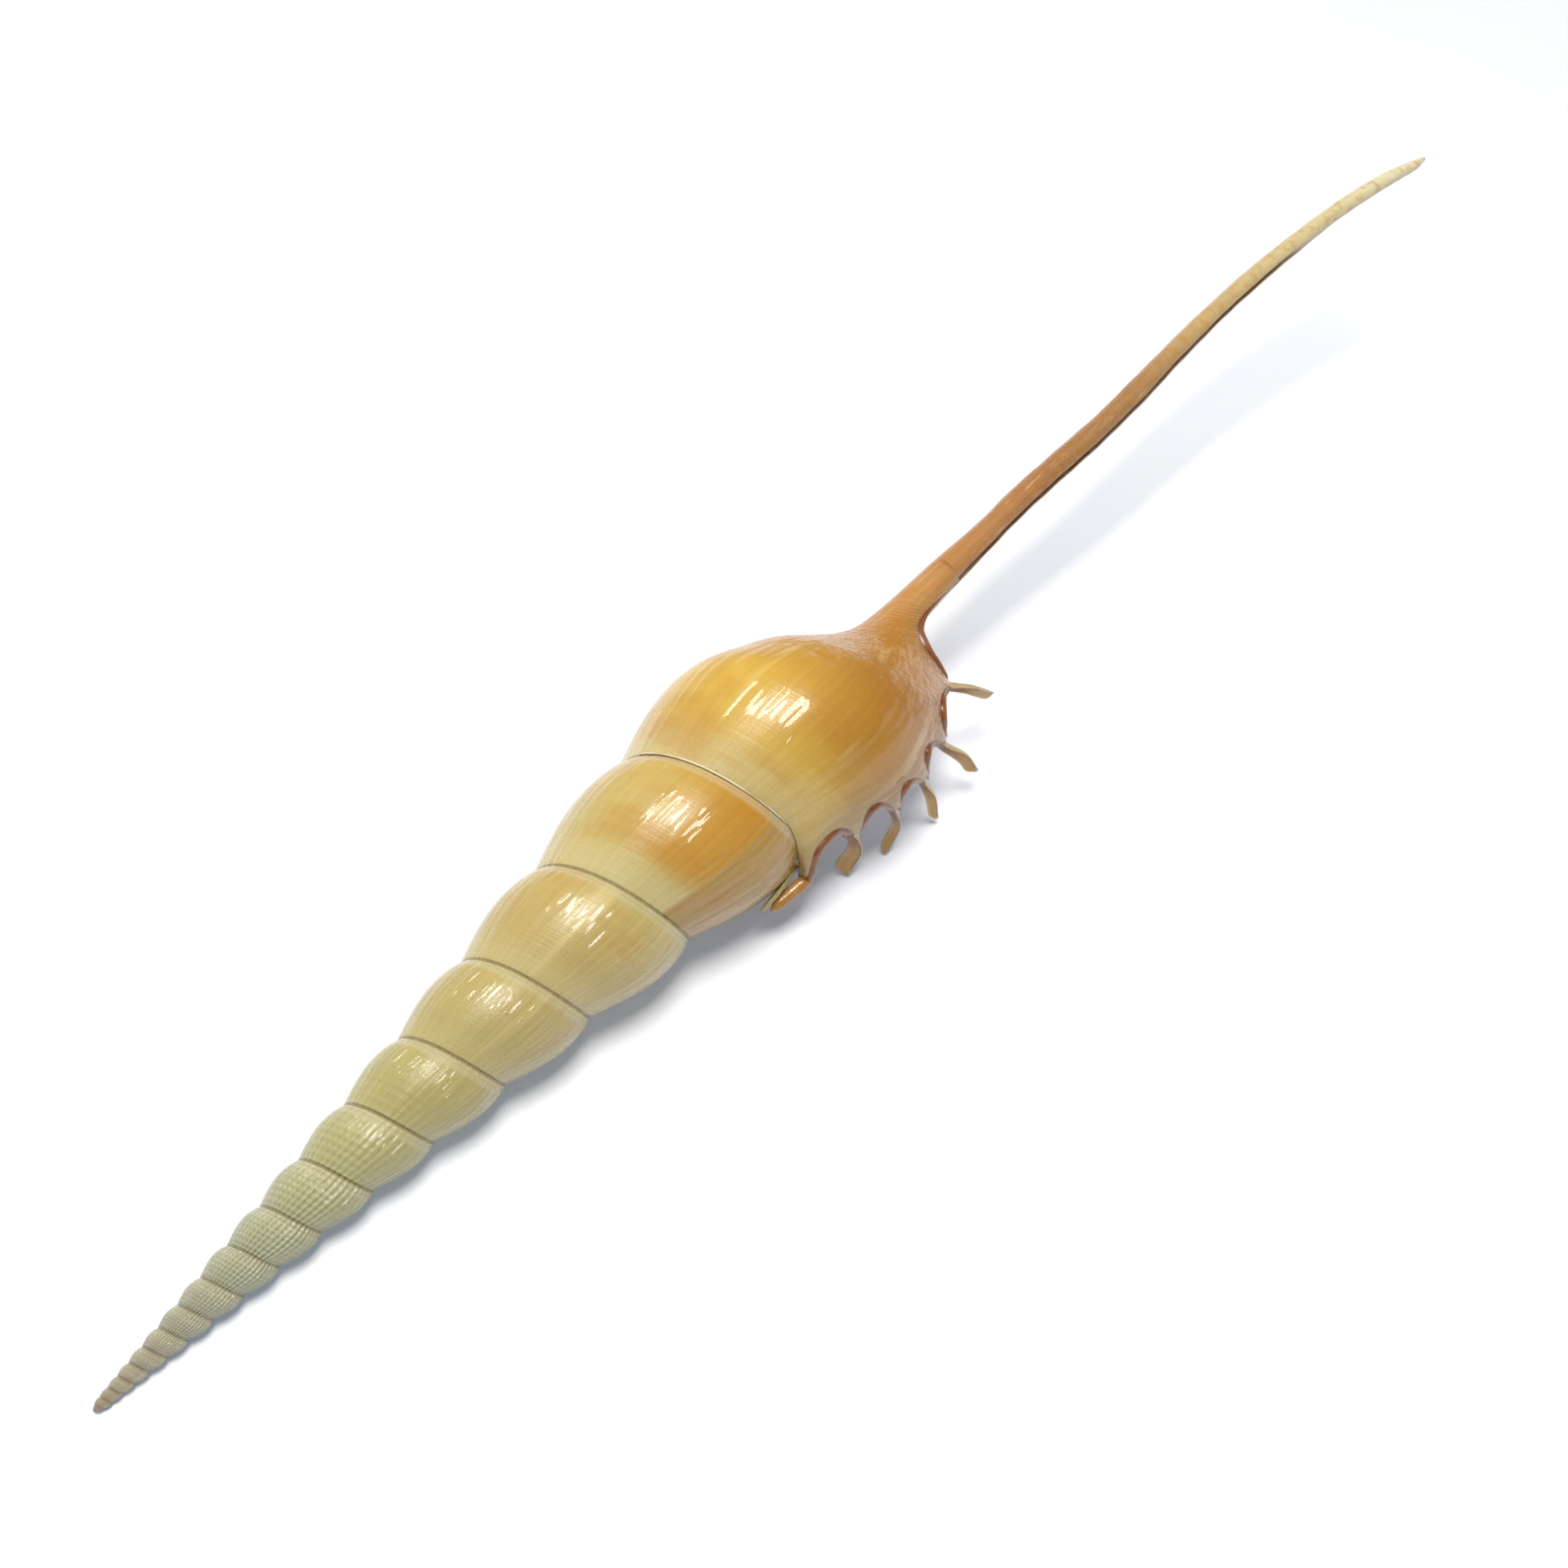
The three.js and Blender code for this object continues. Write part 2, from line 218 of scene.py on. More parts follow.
def growGrid(name, steps, rows, law):
    # a grid primitive bent by a law of growth: law gives points, UV and the marks
    bpy.ops.object.select_all(action="DESELECT")
    bpy.ops.mesh.primitive_grid_add(x_subdivisions=steps, y_subdivisions=rows, size=1)
    piece = bpy.context.object
    piece.name = name
    mesh = piece.data
    flat = np.empty(len(mesh.vertices) * 3)
    mesh.vertices.foreach_get("co", flat)
    flat = flat.reshape(-1, 3)
    along = np.round((flat[:, 0] + 0.5) * steps).astype(int)
    across = np.round((flat[:, 1] + 0.5) * rows).astype(int)
    points, uv, marks = law(along, across)
    mesh.vertices.foreach_set("co", laidDown(points).ravel())
    loops = np.empty(len(mesh.loops), int)
    mesh.loops.foreach_get("vertex_index", loops)
    mesh.uv_layers[0].name = "growthMap"
    mesh.uv_layers[0].data.foreach_set("uv", uv[loops].ravel())
    for mark in ("rim", "inside", "axis"):
        layer = mesh.attributes.new(mark, "FLOAT", "POINT")
        usual = (points[:, 0] - growth["apexX"]) / growth["length"] if mark == "axis" else 0.0
        values = np.broadcast_to(marks.get(mark, usual), (len(points),)).astype(float)
        layer.data.foreach_set("value", values.copy())
    mesh.update()
    bpy.ops.object.shade_smooth()
    return piece


def chosen(piece):
    bpy.ops.object.select_all(action="DESELECT")
    piece.select_set(True)
    bpy.context.view_layer.objects.active = piece


def inEditMode(piece, step, **settings):
    chosen(piece)
    bpy.ops.object.mode_set(mode="EDIT")
    bpy.ops.mesh.select_all(action="SELECT")
    step(**settings)
    bpy.ops.object.mode_set(mode="OBJECT")


def joined(pieces, name):
    chosen(pieces[0])
    for piece in pieces:
        piece.select_set(True)
    bpy.ops.object.join()
    pieces[0].name = name
    return pieces[0]


def mergeDoubles(piece, distance):
    inEditMode(piece, bpy.ops.mesh.remove_doubles, threshold=distance)


def faceOutwards(piece):
    inEditMode(piece, bpy.ops.mesh.normals_make_consistent, inside=False)
    mesh = piece.data
    middles = np.array([face.center for face in mesh.polygons])
    normals = np.array([face.normal for face in mesh.polygons])
    sizes = np.array([face.area for face in mesh.polygons])
    axisY = rest["shift"][1] * mm
    away = np.stack([0 * middles[:, 0], middles[:, 1] - axisY, middles[:, 2] - axisHeight(middles[:, 0])], -1)
    if ((away * normals).sum(1) * sizes).sum() < 0:
        inEditMode(piece, bpy.ops.mesh.flip_normals)


def axisHeight(x):
    # how high above the floor the shell's axis runs
    tilt = math.radians(rest["tilt"])
    return (x - rest["shift"][0] * mm) * math.tan(tilt) + rest["shift"][2] * mm


def thicken(piece, thickness, innerSlot):
    chosen(piece)
    wall = piece.modifiers.new("wall", "SOLIDIFY")
    wall.material_offset = innerSlot
    wall.thickness = thickness * mm
    wall.offset = -1
    bpy.ops.object.modifier_apply(modifier=wall.name)


spire = {
    "stepsPerTurn": 120,
    "rows": 16,
    "tucked": 5,                           # degrees that it runs on under the last whorl
    "sunk": 0.06,                          # mm that its end lies below the last whorl
    "domeEnd": 5.7,                        # the first whorl is a blunt dome up to here
    "evenRows": 0.45,                      # the rest of the spacing draws the rows to the sutures
}
spireSteps = round((-growth["oldestTurn"] - 1) * spire["stepsPerTurn"])


def spireLaw(along, across):
    first = growth["lipAngle"] + growth["oldestTurn"] * 360
    last = growth["lipAngle"] - 360 + spire["tucked"]
    angle = first + (last - first) * along / spireSteps
    s = (1 - np.cos(math.pi * across / spire["rows"])) / 2
    s = s * (1 - spire["evenRows"]) + across / spire["rows"] * spire["evenRows"]
    point = whorlPoint(angle, s)
    dome = np.clip((spire["domeEnd"] - point[:, 0]) / (spire["domeEnd"] - growth["apexX"]), 0, 1)
    point[:, 1] *= np.sqrt(1 - dome ** 2)
    point[:, 0] = np.maximum(point[:, 0], growth["apexX"])
    point[:, 1] -= spire["sunk"] * smooth(angle, last - spire["tucked"], last)
    return polar(point, angle), np.stack([angle / 360, s], -1), {}


spirePiece = growGrid("spireWhorls", spireSteps, spire["rows"], spireLaw)
mergeDoubles(spirePiece, 0.000001)
faceOutwards(spirePiece)


def canalLaw(along, across):
    table = np.array(canal["rings"])
    x = canalStart + (canalEnd - canalStart) * along / canal["steps"]
    ringValues = splineThrough(table[:, 0], table[None, :, 1:], x)[0]
    radius, drift = ringValues[:, 0], ringValues[:, 1]
    angle = growth["lipAngle"] - 360 + 360 * across / canal["sides"]
    away = (angle - (canal["slitAngle"] - 360) + 180) % 360 - 180
    reach = np.degrees(canal["slitHalfWidth"] / np.maximum(radius, 0.5))
    depth = 1 - smooth(np.abs(away), reach * 0.75, reach * 1.35)
    depth = depth * (1 - smooth(x, canal["slitEnd"] - canal["slitFade"], canal["slitEnd"]))
    # the canal isn't quite round or straight
    wobble = 0.025 * np.sin(x * 0.55 + 1.1) * np.cos(np.radians(angle) * 2) + 0.015 * np.sin(x * 1.3)
    wobble = 1 + wobble * smooth(x, canalStart, canalStart + 9)
    radius = radius * wobble * (1 - canal["slitDepth"] * depth)
    points = polar(np.stack([x, radius], -1), angle)
    points[:, 1] -= drift
    # inside marks the slit, which the shell's material darkens as painted shade
    return points, np.stack([angle / 360, 9 + (x - canalStart) / 3], -1), {"inside": depth}


canalPiece = growGrid("canalTube", canal["steps"], canal["sides"], canalLaw)

print("stage: last whorl and lip")

lip = {
    "notchColumns": 26,
    "stripColumns": 6,
    "rows": 84,
    "bladeRows": 26,
    "neckAngle": 113.5,                    # degrees, where a finger leaves the lip
    "neckHalf": 0.36,                      # mm, half the width of a finger's outer face
    "tipHalf": 0.08,
    "thickness": 0.6,
    "flare": 0.25,                         # mm that the edge stands out
    "ridge": 0.45,                         # mm that the shell rises towards each finger
    "edgeZone": (82, 114),                 # degrees over which the shell nears the edge
    "crowding": 1.25,                      # rows draw closer together at the edge
    # the back end of the lip sweeps towards the apex and stands out: length along
    # the lip, how far it is swept and how far it stands out
    "sweep": [(0, 2.6, 1.0), (1.6, 4.2, 1.7), (3.0, 4.0, 1.1), (4.5, 1.2, 0.2), (6.2, 0, 0)],
}

# Fingers from the back of the lip to the canal: where along the axis each leaves
# the lip, its bend, its tip, how wide its blade grows and which way the blade lies.
fingers = [
    {"root": 97.9, "bend": (97.8, -13.1, -8.9), "tip": (95.8, -12.5, -12.3), "blade": 2.2,
     "lie": (-0.72, 0.66, -0.22)},
    {"root": 103.0, "bend": (103.2, -14.2, -9.2), "tip": (101.0, -13.7, -13.2), "blade": 1.2,
     "lie": (-0.66, 0.72, -0.2)},
    {"root": 107.9, "bend": (108.7, -14.8, -9.5), "tip": (108.6, -15.2, -13.6), "blade": 1.15,
     "lie": (-0.85, 0.45, -0.2)},
    {"root": 112.8, "bend": (115.0, -14.5, -8.7), "tip": (115.8, -15.4, -12.0), "blade": 1.4,
     "lie": (-0.55, 0.3, -0.78)},
    {"root": 118.2, "bend": (121.2, -10.3, -5.6), "tip": (124.3, -11.1, -9.5), "blade": 1.1,
     "lie": (-0.3, -0.1, -0.95)},
]
# The angle at the top of each notch and how far along the notch that is.
notches = [(92, 0.63), (92, 0.55), (94, 0.44), (93.5, 0.46), (94, 0.5)]
# The edge beside the canal: distance along the axis and angle.
canalEdge = [(118.6, 113.5), (119.2, 107), (119.8, 97), (120.6, 87.5), (121.6, 79), (122.8, 73), (124.6, 72),
             (126.4, 80), (128, 88), (129, 92)]


def lipArc():
    # the length of the lip's line against the place across the whorl
    w = np.concatenate([np.linspace(0, 1, 200), np.linspace(1, 9, 400)[1:]])
    line = lastWhorlPoint(np.full_like(w, growth["lipAngle"]), w)
    length = np.concatenate([[0], np.cumsum(np.hypot(*np.diff(line, axis=0).T))])
    return w, line, length


arcW, arcLine, arcLength = lipArc()
fingerPlaces = [float(np.interp(finger["root"], arcLine[:, 0], arcLength)) for finger in fingers]


def lipColumns():
    # for each column: place along the lip, angle of the edge, finger number, place across it
    columns = []
    start = 0.0
    count = lip["notchColumns"]
    for number, (top, skew) in enumerate(notches):
        end = fingerPlaces[number] - lip["neckHalf"]
        for k in range(count + 1):
            b = 0.5 - 0.5 * math.cos(math.pi * k / count)
            bent = b ** (math.log(0.5) / math.log(skew))
            dip = math.sin(math.pi * bent) ** 0.45
            level = 116 if number == 0 and bent < 0.5 else lip["neckAngle"]
            place = start + (end - start) * b
            if number == 0:
                dip = dip * smooth(place, 0.9, 2.8)
            columns.append((place, level + (top - level) * dip, -1, b))
        for k in range(1, lip["stripColumns"]):
            a = -1 + 2 * k / lip["stripColumns"]
            columns.append((fingerPlaces[number] + a * lip["neckHalf"], lip["neckAngle"], number, a))
        start = fingerPlaces[number] + lip["neckHalf"]
    edge = np.array(canalEdge)
    places = np.interp(edge[:, 0], arcLine[:, 0], arcLength)
    places[0] = start
    for k in range(2 * count + 1):
        place = start + (arcLength[-1] - start) * k / (2 * count)
        angle = splineThrough(places, edge[None, :, 1:], [place])[0, 0, 0]
        columns.append((place, angle, -2, k / (2 * count)))
    return np.array(columns)


columnsOfLip = lipColumns()
firstAngle = growth["lipAngle"] - 360


def lipPoint(length, angle, near):
    # a point of the last whorl; near is how close it is to the edge of the lip
    w = np.interp(length, arcLength, arcW)
    point = lastWhorlPoint(angle, w)
    ahead = lastWhorlPoint(angle, np.minimum(w + 0.02, 9))
    behind = lastWhorlPoint(angle, np.maximum(w - 0.02, 0))
    line = unit(ahead - behind)
    outward = np.stack([-line[:, 1], line[:, 0]], -1)
    ridge = sum(np.exp(-((length - place) / 1.1) ** 2) for place in fingerPlaces)
    fade = smooth(length, 0.5, 4) * (1 - smooth(length, arcLength[-1] - 10, arcLength[-1] - 5))
    stand = (lip["flare"] * near ** 2 + lip["ridge"] * ridge * near ** 1.5) * fade
    point = point + outward * stand[:, None]
    sweep = np.array(lip["sweep"])
    swept = splineThrough(sweep[:, 0], sweep[None, :, 1:], np.clip(length, 0, sweep[-1, 0]))[0]
    point = point + swept * [-1, 1] * smooth(angle, 62, 117)[:, None]
    return polar(point, angle), np.stack([angle / 360, w], -1)


def lastWhorlLaw(along, across):
    data = columnsOfLip[along]
    q = across / lip["rows"]
    q = 1 - (1 - q) ** lip["crowding"]
    angle = firstAngle + (data[:, 1] - firstAngle) * q
    near = smooth(angle, *lip["edgeZone"])
    points, uv = lipPoint(data[:, 0], angle, near)
    return points, uv, {"rim": np.clip(1 - (data[:, 1] - angle) / 5, 0, 1)}


def edgeAt(index):
    # the lip's edge at some of its columns
    data = columnsOfLip[index]
    return lipPoint(data[:, 0], data[:, 1], smooth(data[:, 1], *lip["edgeZone"]))


def crestOf(number):
    middle = np.where(columnsOfLip[:, 2] == number)[0]
    middle = middle[len(middle) // 2]
    data = columnsOfLip[[middle]]
    neck = edgeAt([middle])[0][0]
    before = lipPoint(data[:, 0], data[:, 1] - 4, smooth(data[:, 1] - 4, *lip["edgeZone"]))[0][0]
    knots = np.array([before, neck, fingers[number]["bend"], fingers[number]["tip"]])
    steps = np.concatenate([[0], np.cumsum(np.linalg.norm(np.diff(knots, axis=0), axis=1))])
    return knots, steps - steps[1]


def stripPoint(number, t, a):
    # the outer face of a finger, t from its neck to its tip, a from side to side
    knots, steps = crestOf(number)
    reach = steps[-1]
    centre = splineThrough(steps, knots[None], t * reach)[0]
    tangent = unit(splineThrough(steps, knots[None], np.minimum(t + 0.02, 1) * reach)[0]
                   - splineThrough(steps, knots[None], np.minimum(t + 0.02, 1) * reach - 0.2)[0])
    outward = np.array([0.45, -0.85, 0.1])
    outward = unit(outward - (tangent @ outward)[:, None] * tangent)
    side = unit(np.cross(tangent, outward))
    columns = np.where(columnsOfLip[:, 2] == number)[0]
    columns = np.concatenate([[columns[0] - 1], columns, [columns[-1] + 1]])
    necks, uv = edgeAt(columns)
    side = side * np.sign((side[0] * (necks[-1] - necks[0])).sum())
    index = np.round((a + 1) / 2 * (len(columns) - 1)).astype(int)
    half = lip["tipHalf"] + (lip["neckHalf"] - lip["tipHalf"]) * (1 - smooth(t, 0, 0.7))
    half = half * np.sqrt(np.clip(1 - smooth(t, 0.85, 1.02) ** 2, 0.02, 1))
    point = centre + side * (a * half)[:, None] - outward * (0.25 * half * a ** 2)[:, None]
    blend = (1 - smooth(t, 0, 0.2))[:, None]
    point = point * (1 - blend) + (necks[index] + centre - necks[len(columns) // 2]) * blend
    return point, uv[index] + np.stack([t * 0.05, np.zeros_like(t)], -1)


def stripPiece(number):
    count = lip["stripColumns"]

    def law(along, across):
        point, uv = stripPoint(number, across / lip["bladeRows"], -1 + 2 * along / count)
        return point, uv, {"rim": 1.0}

    return growGrid("fingerFace" + str(number + 1), count, lip["bladeRows"], law)


shellSheet = [growGrid("lastWhorl", len(columnsOfLip) - 1, lip["rows"], lastWhorlLaw)]
shellSheet += [stripPiece(number) for number in range(len(fingers))]
lastPiece = joined(shellSheet, "lastWhorl")
mergeDoubles(lastPiece, 0.000002)
faceOutwards(lastPiece)
thicken(lastPiece, lip["thickness"], 1)

# The brown rim rolled over the edge of the lip, in mm.
rim = {
    "width": 0.66,
    "backWidth": 0.3,                      # where it starts, behind the first notch
    "rootWidth": 0.5,                      # where it leaves each finger
    "thickness": 0.5,
    "lap": 0.12,                           # how far it laps over the shell's edge
    "sink": 0.16,                          # how far it lies inwards of the shell's face
    "spacing": 0.16,                       # from one ring of it to the next
    "sides": 18,
    "facing": (-0.36, -0.40, 0.84),        # it is turned up and back towards the apex
    "hiddenSide": (0.45, 0.62, -0.45),     # which way the canal side of a finger lies
}
rimFacing = np.array(rim["facing"])


def framed(path, turns):
    # which way the rim reaches at each point of a notch, turned back by some degrees
    t = unit(np.gradient(path, axis=0))
    opened = unit(np.cross(t, rimFacing))
    back = unit(-rimFacing + (t @ rimFacing)[:, None] * t)
    turned = np.radians(turns)[:, None]
    return opened * np.cos(turned) + back * np.sin(turned)


def rimPath():
    # the whole edge of the lip with the rim's width, shade and reach at each point
    points, widths, shades, reaches = [], [], [], []
    settle = np.linspace(0, 1, lip["bladeRows"] + 1)
    for number in range(len(fingers) + 1):
        last = number == len(fingers)
        lower = -1 if number == 0 else np.where(columnsOfLip[:, 2] == number - 1)[0][-1]
        upper = len(columnsOfLip) if last else np.where(columnsOfLip[:, 2] == number)[0][0]
        edge = edgeAt(np.arange(lower + 1, upper))[0]
        b = np.linspace(0, 1, len(edge))
        points.append(edge)
        shades.append(np.full(len(b), 1.0))
        if last:
            widths.append(0.55 + 0.3 * smooth(b, 0.1, 0.35) - 0.7 * smooth(b, 0.5, 0.9))
            reaches.append(framed(edge, 40 - 28 * smooth(b, 0, 0.15)))
            break
        blade = fingers[number]["blade"]
        lie = unit(np.array(fingers[number]["lie"]))
        first = rim["backWidth"] if number == 0 else rim["rootWidth"]
        widths.append(first + (rim["width"] - first) * smooth(b, 0, 0.3)
                      + (blade * 0.55 - rim["width"] * 0.7) * smooth(b, 0.8, 1))
        reaches.append(framed(edge, (8 if number == 0 else 38) * (1 - smooth(b, 0, 0.3)) + 8))
        shape = np.sqrt(np.clip(1 - smooth(settle, 0.72, 1.04) ** 2, 0, 1))
        shape = (0.32 + 0.68 * smooth(settle, 0, 0.55)) * shape
        side = stripPoint(number, settle[1:], np.full(len(settle) - 1, -1.0))[0]
        points.append(side)
        widths.append(0.2 + (blade - 0.2) * shape[1:])
        reaches.append(np.tile(lie, (len(side), 1)))
        shades.append(1 - smooth(settle[1:], 0.05, 0.55))
        side = stripPoint(number, settle[::-1], np.full(len(settle), 1.0))[0][:-1]
        points.append(side)
        widths.append(0.15 + 0.4 * shape[::-1][:-1])
        reaches.append(np.tile(unit(np.array(rim["hiddenSide"])), (len(side), 1)))
        shades.append(1 - smooth(settle[::-1][:-1], 0.1, 0.6))
    return [np.concatenate(part) for part in (points, widths, shades, reaches)]


def evenly(points, others, step):
    length = np.concatenate([[0], np.cumsum(np.linalg.norm(np.diff(points, axis=0), axis=1))])
    at = np.linspace(0, length[-1], int(length[-1] / step))
    path = np.stack([np.interp(at, length, points[:, k]) for k in range(3)], -1)
    return path, [np.interp(at, length, other) for other in others]


def softened(values, rounds):
    values = values.copy()
    for _ in range(rounds):
        values[1:-1] = 0.25 * values[:-2] + 0.5 * values[1:-1] + 0.25 * values[2:]
    return values


def rimLaw(along, across):
    t = tangents[along]
    reach = unit(rimReach[along] - (rimReach[along] * t).sum(1, keepdims=True) * t * 0.7)
    face = unit(np.cross(reach, t))
    around = 2 * math.pi * across / rim["sides"]
    width = rimWidths[along]
    u = 0.5 - 0.5 * np.cos(around)
    thick = rim["thickness"] * np.minimum(1, 0.35 + width * 0.8) * (1 - 0.45 * u)
    ends = smooth(along / rimSteps, 0, 0.01) * (1 - smooth(along / rimSteps, 0.985, 1.0))
    thick = thick * (0.05 + 0.95 * ends)
    outwards = ((width + rim["lap"]) * u - rim["lap"]) * (0.1 + 0.9 * ends)
    point = rimCentre[along] + reach * outwards[:, None]
    point = point + face * (0.5 * thick * np.sin(around) - rim["sink"])[:, None]
    front = np.where(np.sin(around) >= 0, u, 1.0)
    return point, np.stack([along * 0.004, front], -1), {"rim": rimShade[along] * (1 - u * 0.45)}


rimRaw = rimPath()
rimCentre, rimOthers = evenly(rimRaw[0], [rimRaw[1], rimRaw[2]] + list(rimRaw[3].T), rim["spacing"])
rimCentre = softened(rimCentre, 4)
rimWidths = softened(rimOthers[0], 12)
rimShade = softened(rimOthers[1], 4)
rimReach = unit(softened(np.stack(rimOthers[2:], -1), 16))
rimSteps = len(rimCentre) - 1
tangents = unit(softened(unit(np.gradient(rimCentre, axis=0)), 8))
rimPiece = growGrid("lipRim", rimSteps, rim["sides"], rimLaw)
mergeDoubles(rimPiece, 0.000001)
faceOutwards(rimPiece)

print("stage: back of the aperture")

# Callus laid on the whorl before the last: the pale ridge and the warm swelling that
# guard a short canal between them. Places in mm, then half width and half height.
callusRidge = {"places": [(91.4, -9.6, -3.6), (89.8, -10.35, -4.2), (88.2, -10.75, -4.5), (86.3, -11.0, -4.7),
                          (84.6, -11.0, -4.9), (83.3, -10.9, -5.3)],
               "width": [0.2, 0.42, 0.36, 0.34, 0.3, 0.12], "height": [0.3, 0.6, 0.6, 0.55, 0.45, 0.15]}
callusSwelling = {"places": [(91.0, -11.9, -5.5), (89.9, -12.0, -5.5), (88.6, -11.9, -5.5), (87.2, -11.7, -5.6),
                             (85.8, -11.5, -5.8), (84.5, -11.3, -6.2)],
                  "width": [0.3, 0.7, 0.8, 0.75, 0.65, 0.2], "height": [0.3, 0.65, 0.75, 0.7, 0.6, 0.2]}
callusGrid = (48, 20)                      # steps along it and sides around it


def callusPiece(name, settings, turns, place, onAxis):
    # turns, place and onAxis say which part of the shell lends it its colour
    steps, sides = callusGrid
    knots = np.array(settings["places"])
    at = np.linspace(0, 1, len(knots))
    table = np.concatenate([knots, np.array([settings["width"], settings["height"]]).T], 1)

    def law(along, across):
        values = splineThrough(at, table[None], along / steps)[0]
        path = splineThrough(at, table[None], np.arange(steps + 1) / steps)[0][:, :3]
        t = unit(np.gradient(path, axis=0))[along]
        side = unit(np.cross(t, rimFacing))
        up = unit(np.cross(side, t))
        around = 2 * math.pi * across / sides
        ends = np.sqrt(np.clip(np.sin(math.pi * along / steps) * 3, 0.0, 1))[:, None]
        point = (values[:, :3] + side * (np.cos(around) * values[:, 3])[:, None] * ends
                 + up * (np.sin(around) * values[:, 4])[:, None] * ends)
        return point, np.stack([turns + along * 0.002, np.full(len(t), place)], -1), {"axis": onAxis}

    piece = growGrid(name, steps, sides, law)
    mergeDoubles(piece, 0.000001)
    faceOutwards(piece)
    return piece


ridgePiece = callusPiece("callusRidge", callusRidge, -0.5, 0.45, 0.19)
swellingPiece = callusPiece("callusSwelling", callusSwelling, -0.5, 0.6, 0.72)

columella = {"steps": 50, "rows": 60, "turned": 150}    # degrees that it winds on inwards


def columellaLaw(along, across):
    # the wall that the aperture winds round, carried on inwards from its start
    angle = firstAngle - columella["turned"] * (1 - along / columella["steps"])
    w = 1 + 8 * across / columella["rows"]
    shrink = growth["perTurn"] ** ((angle - firstAngle) / 360)
    point = lastWhorlPoint(np.full_like(w, firstAngle), w) * shrink[:, None]
    return polar(point, angle), np.stack([angle / 360, w], -1), {}


columellaPiece = growGrid("columella", columella["steps"], columella["rows"], columellaLaw)
faceOutwards(columellaPiece)

print("stage: shell surface")


def linearColour(code):
    parts = [int(code[k:k + 2], 16) / 255 for k in (1, 3, 5)]
    return [part / 12.92 if part <= 0.04045 else ((part + 0.055) / 1.055) ** 2.4 for part in parts] + [1]


def addNode(tree, kind, inputs=(), output=0, stops=(), **settings):
    # one node with its settings and its inputs, in order or by name; stops colour a ramp
    made = tree.nodes.new("ShaderNode" + kind)
    for name, value in settings.items():
        setattr(made, name, value)
    if stops:
        elements = made.color_ramp.elements
        for element, (place, code) in zip(elements, (stops[0], stops[-1])):
            element.position, element.color = place, linearColour(code)
        for place, code in stops[1:-1]:
            elements.new(place).color = linearColour(code)
    for key, value in inputs.items() if isinstance(inputs, dict) else enumerate(inputs):
        if isinstance(value, bpy.types.NodeSocket):
            tree.links.new(value, made.inputs[key])
        else:
            made.inputs[key].default_value = value
    return made.outputs[output]


def startedMaterial(name, settings):
    material = bpy.data.materials.new(name)
    material.use_nodes = True
    for socket, value in settings.items():
        material.node_tree.nodes["Principled BSDF"].inputs[socket].default_value = value
    return material, functools.partial(addNode, material.node_tree)


def linkSurface(material, values):
    surface = material.node_tree.nodes["Principled BSDF"]
    for socket, value in values.items():
        material.node_tree.links.new(value, surface.inputs[socket])


def weighed(add, terms, total=0.0):
    # the sum of values, each times its weight
    for value, weight in terms:
        total = add("Math", [value, weight, total], operation="MULTIPLY_ADD")
    return total


def faded(add, values, share, fades):
    # a share times values or their soft fades, from one place to another
    for name, *numbers in fades:
        step = values[name]
        if numbers:
            step = add("MapRange", [step] + numbers, interpolation_type="SMOOTHSTEP")
        share = add("Math", [share, step], operation="MULTIPLY")
    return share


def overlaid(add, values, colour, layers):
    # colours laid over one another in turn
    for strength, code, fades in layers:
        share = faded(add, values, strength, fades)
        colour = add("Mix", {0: share, 6: colour, 7: linearColour(code)}, 2, data_type="RGBA")
    return colour


# Fades are written as the value, the two places it changes between and its level at
# each, from 0 to 1 when none is given. "turn" counts turns round the axis from the top
# of the last whorl, "across" goes from 0 to 1 between sutures and on to 9 over the
# base, "axis" from 0 to 1 along the shell, and "above" and "below" are mm from a suture.
onSpire = ("turn", -0.692, -0.688, 1, 0)
onBase = [("across", 1.5, 2.6), ("across", 7.4, 8.9, 1, 0), ("turn", -0.3, 0.1)]

